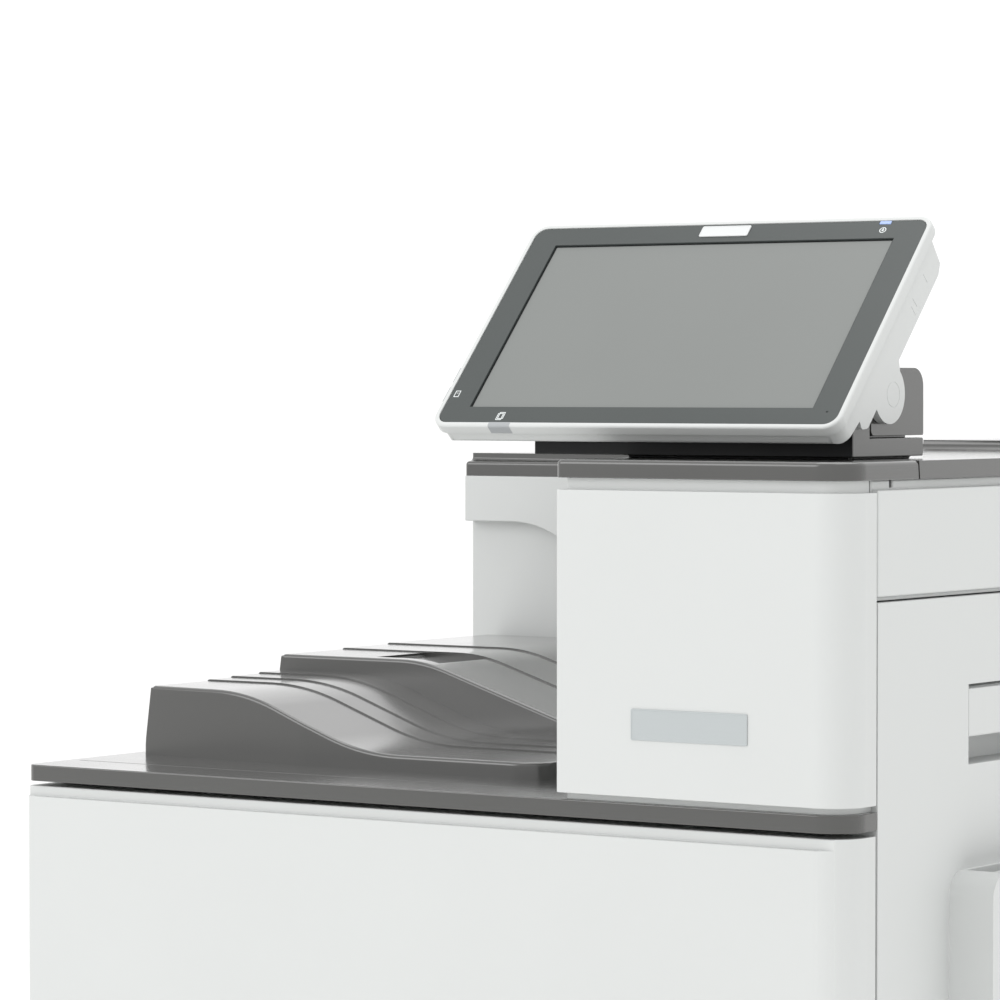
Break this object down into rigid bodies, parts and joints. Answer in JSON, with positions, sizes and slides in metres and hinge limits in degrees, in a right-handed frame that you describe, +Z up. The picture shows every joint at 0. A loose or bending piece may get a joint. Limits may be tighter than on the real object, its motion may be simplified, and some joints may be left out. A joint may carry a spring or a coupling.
{
  "type": "photocopier",
  "caption": "Floor-height office copier body: tilting touch panel on a side tower, sculpted output tray, two paper drawers, front door, side door with fold-out bypass tray.",
  "frame": {"origin": "centre of the footprint at floor level", "axes": "+Z up, +Y from the front to the back, +X to the right seen from the front"},
  "size_m": [0.587, 0.6856, 0.9013],
  "materials": {
    "white_cover": "fine moulded texture",
    "grey_cover": "fine moulded texture",
    "dark_bezel": "satin printed glass",
    "screen": "unlit display behind a matt film",
    "status_lamp": "translucent",
    "badge": "satin blank badge",
    "plate": "satin blank plate",
    "foot_rubber": "matt",
    "chassis_steel": "zinc-plated sheet",
    "bright_steel": "ground",
    "black_plastic": "moulded",
    "belt_film": "semi-gloss film",
    "roller_rubber": "smooth",
    "toner_black": "moulded",
    "toner_cyan": "moulded",
    "toner_magenta": "moulded",
    "toner_white": "moulded",
    "inner_grey": "moulded",
    "fence_green": "moulded"
  },
  "bodies": {
    "root": {"chassis": "chassis_steel", "deck": "grey_cover", "door_hinge_pins": "bright_steel", "drawer_runners": "chassis_steel", "drum_units": "black_plastic", "fuser_frame": "chassis_steel", "laser_unit": "black_plastic", "left_cover": "white_cover", "name_plate": "plate", "output_tray": "grey_cover", "output_tray_step": "grey_cover", "panel_bracket": "grey_cover", "panel_hinge_block": "grey_cover", "panel_hinge_pin": "bright_steel", "power_inlet": "black_plastic", "rear_cover": "white_cover", "rear_housing": "white_cover", "rear_housing_cap": "grey_cover", "right_cover": "white_cover", "right_upper_cover": "white_cover", "rubber_feet": "foot_rubber", "toner_cradle": "black_plastic", "tower_frame": "white_cover", "tower_front_cap": "grey_cover", "tower_front_cover": "white_cover", "tower_rear_cap": "grey_cover", "transfer_belt_unit": "belt_film"},
    "panel": {"panel_front_frame": "white_cover", "panel_bezel": "dark_bezel", "panel_display": "screen", "panel_status_light": "status_lamp", "panel_badge": "badge", "panel_media_covers": "white_cover", "panel_rear_housing": "white_cover"},
    "front_door": {"front_door": "white_cover"},
    "lower_drawer": {"lower_drawer_front": "white_cover", "lower_drawer_tray": "inner_grey"},
    "upper_drawer": {"upper_drawer_front": "white_cover", "upper_drawer_tray": "inner_grey"},
    "lower_lift_plate": {"lower_lift_plate": "bright_steel"},
    "upper_lift_plate": {"upper_lift_plate": "bright_steel"},
    "side_fence_front": {"lower_side_fence_front": "fence_green"},
    "side_fence_back": {"lower_side_fence_back": "fence_green"},
    "end_fence": {"lower_end_fence": "fence_green"},
    "right_door": {"right_door": "white_cover"},
    "door_lever": {"right_door_lever": "white_cover"},
    "bypass_tray": {"bypass_tray": "white_cover"},
    "bypass_extension": {"bypass_extension": "inner_grey"},
    "guide_front": {"bypass_guide_front": "inner_grey"},
    "guide_back": {"bypass_guide_back": "inner_grey"},
    "power_switch": {"power_switch": "black_plastic"},
    "fan_rotor": {"fan_rotor": "black_plastic"},
    "exit_roller": {"exit_roller": "roller_rubber"},
    "hot_roller": {"fuser_hot_roller": "roller_rubber"},
    "pressure_roller": {"fuser_pressure_roller": "roller_rubber"},
    "bottle_1": {"toner_bottle_1": "toner_black"},
    "bottle_2": {"toner_bottle_2": "toner_cyan"},
    "bottle_3": {"toner_bottle_3": "toner_magenta"},
    "bottle_4": {"toner_bottle_4": "toner_white"}
  },
  "joints": [
    {"name": "panel_tilt", "type": "hinge", "parent": "root", "child": "panel", "pos_m": [0.1074, -0.24713, 0.80348], "axis": [1, 0, 0], "range_deg": [-25, 8]},
    {"name": "front_door_hinge", "type": "hinge", "parent": "root", "child": "front_door", "pos_m": [0, -0.3355, 0.253], "axis": [1, 0, 0], "range_deg": [0, 88]},
    {"name": "lower_drawer_slide", "type": "slide", "parent": "root", "child": "lower_drawer", "axis": [0, -1, 0], "range_m": [0, 0.4]},
    {"name": "upper_drawer_slide", "type": "slide", "parent": "root", "child": "upper_drawer", "axis": [0, -1, 0], "range_m": [0, 0.4]},
    {"name": "lower_plate_lift", "type": "hinge", "parent": "lower_drawer", "child": "lower_lift_plate", "pos_m": [-0.0205, -0.0525, 0.038], "axis": [0, -1, 0], "range_deg": [0, 13]},
    {"name": "upper_plate_lift", "type": "hinge", "parent": "upper_drawer", "child": "upper_lift_plate", "pos_m": [-0.0205, -0.0525, 0.149], "axis": [0, -1, 0], "range_deg": [0, 13]},
    {"name": "side_fence_front_slide", "type": "slide", "parent": "lower_drawer", "child": "side_fence_front", "axis": [0, 1, 0], "range_m": [0, 0.055]},
    {"name": "side_fence_back_slide", "type": "slide", "parent": "lower_drawer", "child": "side_fence_back", "axis": [0, -1, 0], "range_m": [0, 0.055]},
    {"name": "end_fence_slide", "type": "slide", "parent": "lower_drawer", "child": "end_fence", "axis": [1, 0, 0], "range_m": [0, 0.2]},
    {"name": "right_door_hinge", "type": "hinge", "parent": "root", "child": "right_door", "pos_m": [0.2595, -0.0525, 0.307], "axis": [0, 1, 0], "range_deg": [0, 45]},
    {"name": "door_lever_hinge", "type": "hinge", "parent": "right_door", "child": "door_lever", "pos_m": [0.2615, -0.157, 0.6405], "axis": [0, -1, 0], "range_deg": [0, 22], "stiffness_Nm_per_rad": 0.2, "springref_deg": -17.19},
    {"name": "bypass_tray_hinge", "type": "hinge", "parent": "right_door", "child": "bypass_tray", "pos_m": [0.2875, -0.0525, 0.345], "axis": [0, 1, 0], "range_deg": [0, 78]},
    {"name": "bypass_extension_slide", "type": "slide", "parent": "bypass_tray", "child": "bypass_extension", "axis": [0, 0, 1], "range_m": [0, 0.1]},
    {"name": "guide_front_slide", "type": "slide", "parent": "bypass_tray", "child": "guide_front", "axis": [0, 1, 0], "range_m": [0, 0.06]},
    {"name": "guide_back_slide", "type": "slide", "parent": "bypass_tray", "child": "guide_back", "axis": [0, -1, 0], "range_m": [0, 0.06]},
    {"name": "power_switch_rock", "type": "hinge", "parent": "root", "child": "power_switch", "pos_m": [-0.1995, 0.3375, 0.07], "axis": [1, 0, 0], "range_deg": [0, 16]},
    {"name": "fan_spin", "type": "hinge", "parent": "root", "child": "fan_rotor", "pos_m": [-0.1735, 0.3245, 0.42], "axis": [0, 1, 0], "continuous": true},
    {"name": "exit_roller_spin", "type": "hinge", "parent": "root", "child": "exit_roller", "pos_m": [0.1055, -0.0525, 0.648], "axis": [0, 1, 0], "continuous": true},
    {"name": "hot_roller_spin", "type": "hinge", "parent": "root", "child": "hot_roller", "pos_m": [0.1795, -0.0525, 0.6176], "axis": [0, 1, 0], "continuous": true},
    {"name": "pressure_roller_spin", "type": "hinge", "parent": "root", "child": "pressure_roller", "pos_m": [0.2154, -0.0525, 0.6176], "axis": [0, 1, 0], "continuous": true},
    {"name": "bottle_1_spin", "type": "hinge", "parent": "root", "child": "bottle_1", "pos_m": [-0.2, -0.0525, 0.5], "axis": [0, 1, 0], "continuous": true},
    {"name": "bottle_2_spin", "type": "hinge", "parent": "root", "child": "bottle_2", "pos_m": [-0.1, -0.0525, 0.5], "axis": [0, 1, 0], "continuous": true},
    {"name": "bottle_3_spin", "type": "hinge", "parent": "root", "child": "bottle_3", "pos_m": [0, -0.0525, 0.5], "axis": [0, 1, 0], "continuous": true},
    {"name": "bottle_4_spin", "type": "hinge", "parent": "root", "child": "bottle_4", "pos_m": [0.1, -0.0525, 0.5], "axis": [0, 1, 0], "continuous": true}
  ],
  "couplings": [
    {"joint": "pressure_roller_spin", "follows": "hot_roller_spin", "ratio": -1},
    {"joint": "side_fence_back_slide", "follows": "side_fence_front_slide", "ratio": 1},
    {"joint": "guide_back_slide", "follows": "guide_front_slide", "ratio": 1}
  ]
}
